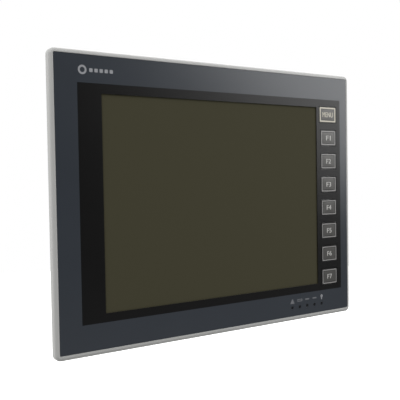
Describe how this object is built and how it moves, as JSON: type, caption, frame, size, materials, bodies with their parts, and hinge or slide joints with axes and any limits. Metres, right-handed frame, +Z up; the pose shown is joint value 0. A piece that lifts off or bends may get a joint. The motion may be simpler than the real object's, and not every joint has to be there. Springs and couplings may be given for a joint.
{
  "type": "hmi touch panel",
  "caption": "Panel-mount operator touch terminal: light grey bezel, dark film front with a touch screen and function keys, stepped rear housing with sockets, held by clamps.",
  "frame": {"origin": "middle of the cabinet cut-out, in the plane of the door's outer face, which is the bezel's sealing face", "axes": "+X to the operator's right, +Y into the cabinet, +Z up; the operator's side is -Y"},
  "size_m": [0.297, 0.0528, 0.2264],
  "materials": {
    "shell": "fine spark-eroded texture, light grey",
    "overlay": "fine-grained polyester film, blue-grey and black print",
    "key": "the same film, grey key fields with silver outlines",
    "touch": "anti-glare film over a resistive touch glass, unlit",
    "rubber": "soft black sealing rubber",
    "lens": "smoked clear light guide",
    "lcd": "polarised display glass",
    "steel": "zinc-plated sheet and turned steel",
    "connector": "nickel-plated shells round black inserts",
    "aluminium": "extruded, clear anodised",
    "board": "green glass-epoxy circuit board with its parts",
    "black": "moulded black nylon",
    "green": "moulded green terminal plastic",
    "white": "white moulded plastic",
    "red": "glossy red switch body"
  },
  "bodies": {
    "terminal": {"front_bezel": "shell", "front_overlay": "overlay", "panel_gasket": "rubber", "key_dome_sheet": "steel", "keypad_board": "board", "led_light_pipe": "lens", "touch_screen": "touch", "touch_seal": "rubber", "lcd_frame": "steel", "lcd_cell": "lcd", "lcd_backlight": "white", "lcd_bracket_left": "steel", "lcd_bracket_right": "steel", "chassis_plate": "steel", "main_board": "board", "cpu_heatsink": "aluminium", "inverter_board": "board", "battery_holder": "black", "coin_cell": "steel", "rear_housing": "shell", "dip_switch_body": "red", "com1_port": "connector", "com2_port": "connector", "ethernet_port": "connector", "usb_port": "connector", "supply_terminal": "green", "housing_screw_1": "steel", "housing_screw_2": "steel", "housing_screw_3": "steel", "housing_screw_4": "steel", "clamp_bracket_1": "steel", "clamp_bracket_2": "steel", "clamp_bracket_3": "steel", "clamp_bracket_4": "steel"},
    "battery_door": {"battery_door": "shell"},
    "key_menu": {"key_menu": "key"},
    "key_f1": {"key_f1": "key"},
    "key_f2": {"key_f2": "key"},
    "key_f3": {"key_f3": "key"},
    "key_f4": {"key_f4": "key"},
    "key_f5": {"key_f5": "key"},
    "key_f6": {"key_f6": "key"},
    "key_f7": {"key_f7": "key"},
    "clamp_screw_1": {"clamp_screw_1": "steel"},
    "clamp_screw_2": {"clamp_screw_2": "steel"},
    "clamp_screw_3": {"clamp_screw_3": "steel"},
    "clamp_screw_4": {"clamp_screw_4": "steel"},
    "supply_screw_1": {"supply_screw_1": "steel"},
    "supply_screw_2": {"supply_screw_2": "steel"},
    "supply_screw_3": {"supply_screw_3": "steel"},
    "reset_button": {"reset_button": "black"},
    "clamp_pad_1": {"clamp_pad_1": "black"},
    "clamp_pad_2": {"clamp_pad_2": "black"},
    "clamp_pad_3": {"clamp_pad_3": "black"},
    "clamp_pad_4": {"clamp_pad_4": "black"},
    "dip_lever_1": {"dip_lever_1": "white"},
    "dip_lever_2": {"dip_lever_2": "white"},
    "dip_lever_3": {"dip_lever_3": "white"},
    "dip_lever_4": {"dip_lever_4": "white"}
  },
  "joints": [
    {"name": "key_menu_press", "type": "slide", "parent": "terminal", "child": "key_menu", "axis": [0, 1, 0], "range_m": [0, 0.0005], "stiffness_N_per_m": 2000, "springref_m": -0.0005},
    {"name": "key_f1_press", "type": "slide", "parent": "terminal", "child": "key_f1", "axis": [0, 1, 0], "range_m": [0, 0.0005], "stiffness_N_per_m": 2000, "springref_m": -0.0005},
    {"name": "key_f2_press", "type": "slide", "parent": "terminal", "child": "key_f2", "axis": [0, 1, 0], "range_m": [0, 0.0005], "stiffness_N_per_m": 2000, "springref_m": -0.0005},
    {"name": "key_f3_press", "type": "slide", "parent": "terminal", "child": "key_f3", "axis": [0, 1, 0], "range_m": [0, 0.0005], "stiffness_N_per_m": 2000, "springref_m": -0.0005},
    {"name": "key_f4_press", "type": "slide", "parent": "terminal", "child": "key_f4", "axis": [0, 1, 0], "range_m": [0, 0.0005], "stiffness_N_per_m": 2000, "springref_m": -0.0005},
    {"name": "key_f5_press", "type": "slide", "parent": "terminal", "child": "key_f5", "axis": [0, 1, 0], "range_m": [0, 0.0005], "stiffness_N_per_m": 2000, "springref_m": -0.0005},
    {"name": "key_f6_press", "type": "slide", "parent": "terminal", "child": "key_f6", "axis": [0, 1, 0], "range_m": [0, 0.0005], "stiffness_N_per_m": 2000, "springref_m": -0.0005},
    {"name": "key_f7_press", "type": "slide", "parent": "terminal", "child": "key_f7", "axis": [0, 1, 0], "range_m": [0, 0.0005], "stiffness_N_per_m": 2000, "springref_m": -0.0005},
    {"name": "reset_press", "type": "slide", "parent": "terminal", "child": "reset_button", "axis": [0, -1, 0], "range_m": [0, 0.0008], "stiffness_N_per_m": 1500, "springref_m": -0.0004},
    {"name": "dip_1_slide", "type": "slide", "parent": "terminal", "child": "dip_lever_1", "axis": [0, 0, 1], "range_m": [0, 0.0012]},
    {"name": "dip_2_slide", "type": "slide", "parent": "terminal", "child": "dip_lever_2", "axis": [0, 0, 1], "range_m": [0, 0.0012]},
    {"name": "dip_3_slide", "type": "slide", "parent": "terminal", "child": "dip_lever_3", "axis": [0, 0, 1], "range_m": [0, 0.0012]},
    {"name": "dip_4_slide", "type": "slide", "parent": "terminal", "child": "dip_lever_4", "axis": [0, 0, 1], "range_m": [0, 0.0012]},
    {"name": "battery_door_slide", "type": "slide", "parent": "terminal", "child": "battery_door", "axis": [0, 0, -1], "range_m": [0, 0.03]},
    {"name": "supply_screw_1_turn", "type": "hinge", "parent": "terminal", "child": "supply_screw_1", "pos_m": [0.09292, 0.036, -0.0784], "axis": [0, 1, 0], "range_deg": [0, 1080]},
    {"name": "supply_screw_2_turn", "type": "hinge", "parent": "terminal", "child": "supply_screw_2", "pos_m": [0.098, 0.036, -0.0784], "axis": [0, 1, 0], "range_deg": [0, 1080]},
    {"name": "supply_screw_3_turn", "type": "hinge", "parent": "terminal", "child": "supply_screw_3", "pos_m": [0.10308, 0.036, -0.0784], "axis": [0, 1, 0], "range_deg": [0, 1080]},
    {"name": "clamp_1_feed", "type": "slide", "parent": "terminal", "child": "clamp_pad_1", "axis": [0, -1, 0], "range_m": [0, 0.0048]},
    {"name": "clamp_1_screw_turn", "type": "hinge", "parent": "clamp_pad_1", "child": "clamp_screw_1", "pos_m": [0.085, 0.03, 0.1092], "axis": [0, -1, 0], "range_deg": [0, 2469]},
    {"name": "clamp_2_feed", "type": "slide", "parent": "terminal", "child": "clamp_pad_2", "axis": [0, -1, 0], "range_m": [0, 0.0048]},
    {"name": "clamp_2_screw_turn", "type": "hinge", "parent": "clamp_pad_2", "child": "clamp_screw_2", "pos_m": [-0.085, 0.03, 0.1092], "axis": [0, -1, 0], "range_deg": [0, 2469]},
    {"name": "clamp_3_feed", "type": "slide", "parent": "terminal", "child": "clamp_pad_3", "axis": [0, -1, 0], "range_m": [0, 0.0048]},
    {"name": "clamp_3_screw_turn", "type": "hinge", "parent": "clamp_pad_3", "child": "clamp_screw_3", "pos_m": [-0.085, 0.03, -0.1092], "axis": [0, -1, 0], "range_deg": [0, 2469]},
    {"name": "clamp_4_feed", "type": "slide", "parent": "terminal", "child": "clamp_pad_4", "axis": [0, -1, 0], "range_m": [0, 0.0048]},
    {"name": "clamp_4_screw_turn", "type": "hinge", "parent": "clamp_pad_4", "child": "clamp_screw_4", "pos_m": [0.085, 0.03, -0.1092], "axis": [0, -1, 0], "range_deg": [0, 2469]}
  ],
  "couplings": [
    {"joint": "clamp_1_screw_turn", "follows": "clamp_1_feed", "rad_per_m": 8976},
    {"joint": "clamp_2_screw_turn", "follows": "clamp_2_feed", "rad_per_m": 8976},
    {"joint": "clamp_3_screw_turn", "follows": "clamp_3_feed", "rad_per_m": 8976},
    {"joint": "clamp_4_screw_turn", "follows": "clamp_4_feed", "rad_per_m": 8976}
  ]
}
